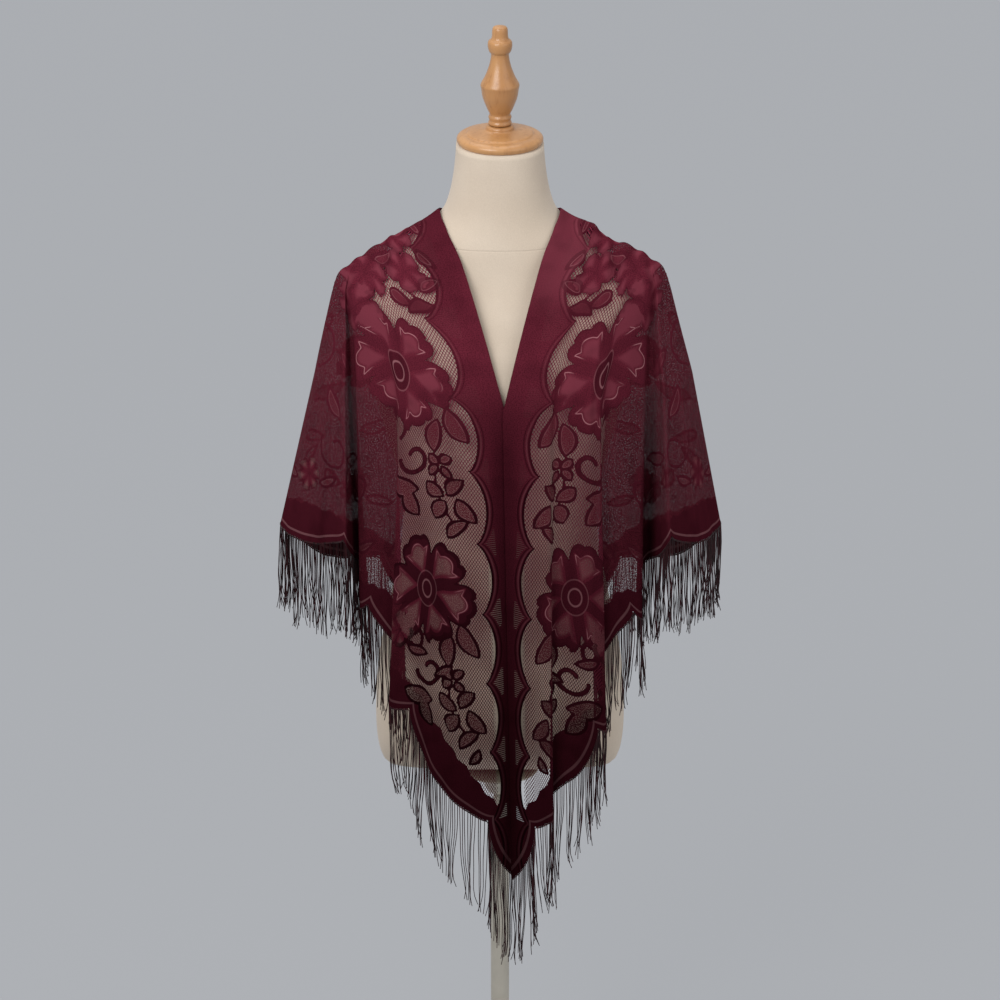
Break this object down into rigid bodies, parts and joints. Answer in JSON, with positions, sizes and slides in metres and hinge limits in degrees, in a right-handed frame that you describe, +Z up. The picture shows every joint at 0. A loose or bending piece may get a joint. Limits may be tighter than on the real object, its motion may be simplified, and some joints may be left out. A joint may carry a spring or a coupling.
{
  "type": "lace shawl on dress form",
  "caption": "Fringed triangular lace shawl draped round the shoulders of a limbless dress form with a turned wooden neck cap, on a pole with a round base.",
  "frame": {"origin": "centre of the underside of the round base, on the axis of the pole", "axes": "+Z up along the pole, -Y to the front of the form, +X to the wearer's left"},
  "size_m": [0.5318, 0.3, 1.45],
  "materials": {
    "lace": "burgundy knitted lace",
    "fringe": "burgundy twisted yarn",
    "form_cloth": "cream jersey cover",
    "light_wood": "satin varnish",
    "cream_metal": "satin"
  },
  "bodies": {
    "root": {"shawl_right_front": "lace", "shawl_left_front": "lace", "shawl_back": "lace", "fringe_right_front": "fringe", "fringe_left_front": "fringe", "fringe_back": "fringe", "torso": "form_cloth", "neck_cap": "light_wood", "finial": "light_wood", "pole_flange": "cream_metal", "pole": "cream_metal", "base": "cream_metal"}
  },
  "joints": []
}
